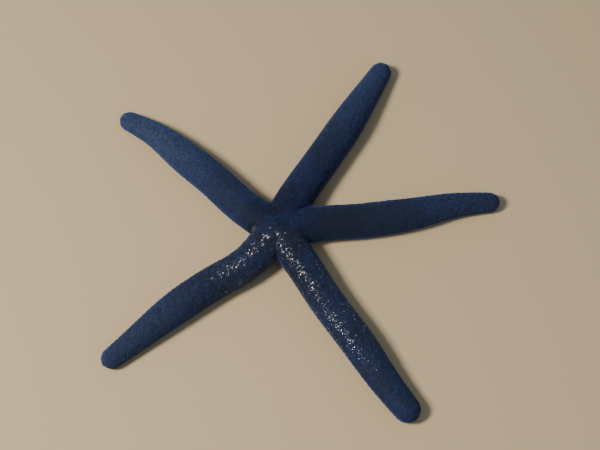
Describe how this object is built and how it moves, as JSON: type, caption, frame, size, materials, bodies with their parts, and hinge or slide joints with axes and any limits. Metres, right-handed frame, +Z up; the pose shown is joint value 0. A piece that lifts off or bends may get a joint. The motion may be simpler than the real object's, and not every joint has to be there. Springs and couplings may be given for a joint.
{
  "type": "blue sea star",
  "caption": "Life-size still model of a blue sea star lying flat, with long round blunt arms, a small disc, a sieve plate and furrows of tube feet beneath.",
  "frame": {"origin": "on the floor under the middle of the animal's bounding box", "axes": "+Z up, out of the aboral side; +X lies within about ten degrees of arm A, and arms B to E follow clockwise seen from above"},
  "size_m": [0.226, 0.2322, 0.0212],
  "materials": {
    "blue_hide": "wet, finely granular, mottled navy blue",
    "sieve_plate": "matt grey-blue, finely furrowed",
    "mouth_skin": "soft, moist, tan",
    "tube_feet": "soft, moist, pale yellow-brown",
    "oral_grains": "moist, pale blue-grey grains"
  },
  "bodies": {
    "root": {"disc": "blue_hide", "arm_A_base": "blue_hide", "arm_A_middle": "blue_hide", "arm_A_tip": "blue_hide", "arm_B_base": "blue_hide", "arm_B_middle": "blue_hide", "arm_B_tip": "blue_hide", "arm_C_base": "blue_hide", "arm_C_middle": "blue_hide", "arm_C_tip": "blue_hide", "arm_D_base": "blue_hide", "arm_D_middle": "blue_hide", "arm_D_tip": "blue_hide", "arm_E_base": "blue_hide", "arm_E_middle": "blue_hide", "arm_E_tip": "blue_hide", "sieve_plate": "sieve_plate", "mouth": "mouth_skin"}
  },
  "joints": []
}
